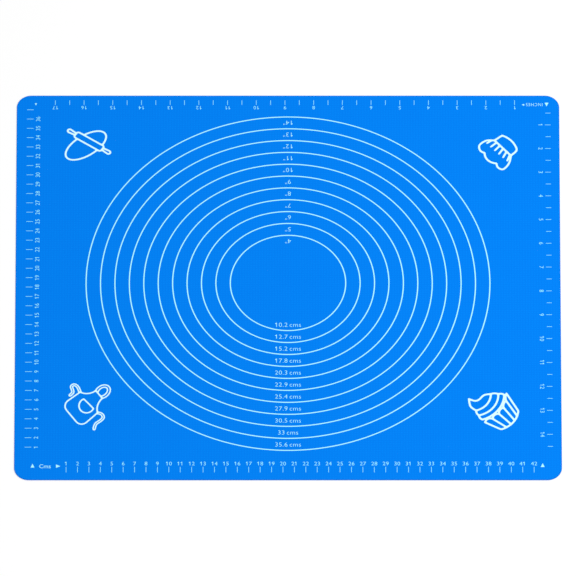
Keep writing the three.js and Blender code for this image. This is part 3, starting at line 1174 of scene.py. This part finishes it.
@dataclass
class Studio:
    """White floor, soft light and a long lens at the photograph's angle."""

    # The picture's side, and the mat's length and middle in it, in pixels
    frame_pixels: int = 576
    mat_pixels: float = 545.2
    mat_middle: tuple[float, float] = (288.0, 286.65)
    elevation: float = 55.65  # degrees above the floor
    lens: float = 1500.0
    sensor: float = 36.0
    floor_side: float = 16.0  # metres
    floor_drop: float = 0.05
    floor_colour: str = "#FFFFFF"
    floor_glow: float = 0.5
    # From the first to the second distance from the middle, in metres, the floor fades to plain white
    floor_fade: tuple[float, float] = (0.45, 1.0)
    sky_colour: str = "#FFFFFF"
    sky_strength: float = 0.62
    lamps: tuple[SoftLamp, ...] = (
        SoftLamp("key_lamp", place=(1.3, 0.0, 1.7), side=1.2, power=25.5),
        SoftLamp("fill_lamp", place=(-1.2, -1.4, 2.2), side=1.4, power=5.5),
    )

    def build(self, mat: MatFrame) -> None:
        """Sets up floor, light and camera.

        Args:
            mat: Sizes of the mat, for the framing.
        """
        self.build_floor()
        self.build_sky()
        for lamp in self.lamps:
            lamp.hang()
        self.build_camera(mat)
        bpy.context.scene.view_settings.view_transform = "Standard"

    @staticmethod
    def seen_directly(tree: bpy.types.NodeTree) -> bpy.types.NodeSocket:
        """Tells rays that show the surroundings from rays that carry light.

        Args:
            tree: The node tree.

        Returns:
            A socket that is 1 for camera, glossy and transmission rays.
        """
        path = add_node(tree, "ShaderNodeLightPath")
        direct = path.outputs["Is Camera Ray"]
        for other in ("Is Glossy Ray", "Is Transmission Ray"):
            either = add_node(
                tree, "ShaderNodeMath", {"operation": "MAXIMUM"}, {0: direct, 1: path.outputs[other]},
            )
            direct = either.outputs[0]
        return direct

    def build_floor(self) -> None:
        """Lays a white floor that keeps the mat's shadow."""
        shape = rectangle(self.floor_side, self.floor_side)
        bmesh.ops.translate(shape, vec=(0, 0, -self.floor_drop * MM), verts=shape.verts[:])
        mesh = bpy.data.meshes.new("studio_floor")
        shape.to_mesh(mesh)
        shape.free()
        material = new_material("studio_floor_paint")
        tree = material.node_tree
        paint = add_node(tree, "ShaderNodeBsdfDiffuse", {"Color": linear(self.floor_colour)})
        glow = add_node(tree, "ShaderNodeEmission", {"Color": linear(self.floor_colour)})
        place = add_node(tree, "ShaderNodeTexCoord").outputs["Object"]
        reach = add_node(tree, "ShaderNodeVectorMath", {"operation": "LENGTH"}, {0: place})
        near, far = self.floor_fade
        fade = add_node(
            tree,
            "ShaderNodeMapRange",
            {"From Min": near, "From Max": far, "To Min": self.floor_glow},
            {"Value": reach.outputs["Value"]},
        )
        amount = add_node(
            tree,
            "ShaderNodeMath",
            {"operation": "MULTIPLY"},
            {0: self.seen_directly(tree), 1: fade.outputs["Result"]},
        )
        mixed = add_node(
            tree,
            "ShaderNodeMixShader",
            links={0: amount.outputs[0], 1: paint.outputs["BSDF"], 2: glow.outputs["Emission"]},
        )
        add_node(tree, "ShaderNodeOutputMaterial", links={"Surface": mixed.outputs[0]})
        mesh.materials.append(material)
        floor = add_object("studio_floor", mesh)

    def build_sky(self) -> None:
        """Surrounds the mat with even white light, seen as plain white."""
        world = bpy.data.worlds.new("studio_sky")
        world.use_nodes = True
        tree = world.node_tree
        tree.nodes.clear()
        colour = linear(self.sky_colour)
        light = add_node(tree, "ShaderNodeBackground", {"Color": colour, "Strength": self.sky_strength})
        backdrop = add_node(tree, "ShaderNodeBackground", {"Color": colour})
        mixed = add_node(
            tree,
            "ShaderNodeMixShader",
            links={
                0: self.seen_directly(tree),
                1: light.outputs["Background"],
                2: backdrop.outputs["Background"],
            },
        )
        add_node(tree, "ShaderNodeOutputWorld", links={"Surface": mixed.outputs[0]})
        bpy.context.scene.world = world

    def build_camera(self, mat: MatFrame) -> None:
        """Places the camera so that the mat fills the photograph's frame as it does there.

        Args:
            mat: Sizes of the mat.
        """
        metres_per_pixel = mat.length * MM / self.mat_pixels
        view_width = self.frame_pixels * metres_per_pixel
        distance = view_width * self.lens / self.sensor
        tilt = math.radians(self.elevation)
        middle = self.frame_pixels / 2
        aim = Vector((
            (middle - self.mat_middle[0]) * metres_per_pixel,
            (self.mat_middle[1] - middle) * metres_per_pixel / math.sin(tilt),
            mat.coat_top * MM,
        ))
        back = Vector((0, -math.cos(tilt), math.sin(tilt)))
        data = bpy.data.cameras.new("long_lens")
        data.lens = self.lens
        data.sensor_width = self.sensor
        data.clip_end = 2 * distance
        camera = add_object("long_lens", data)
        camera.location = aim + back * distance
        camera.rotation_euler = back.to_track_quat("Z", "Y").to_euler()
        bpy.context.scene.camera = camera


def main() -> None:
    """Builds the mat around its frame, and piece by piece."""
    logging.basicConfig(level=logging.INFO, format="%(name)s: %(message)s")
    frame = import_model()
    nodes = frame["nodes"]
    mat = MatFrame.from_solids()
    finishes = Finishes()
    Studio().build(mat)
    Laminate(mat, finishes).build()
    ring_nodes = sorted(name for name in nodes if name.startswith("ring_"))
    MeasuringRings(mat, finishes).build(ring_nodes)
    EdgeScales(mat, finishes).build()
    CornerMarks(mat, finishes).build()
    drawings = sorted(name for name in nodes if name.endswith("_print"))
    LineDrawings(mat, finishes).build(nodes, drawings)
    arrows = sorted(name for name in nodes if name.startswith("arrow_"))
    ink_solids(nodes, arrows, finishes.inks[InkFilm.LINE])


if __name__ == "__main__":
    main()
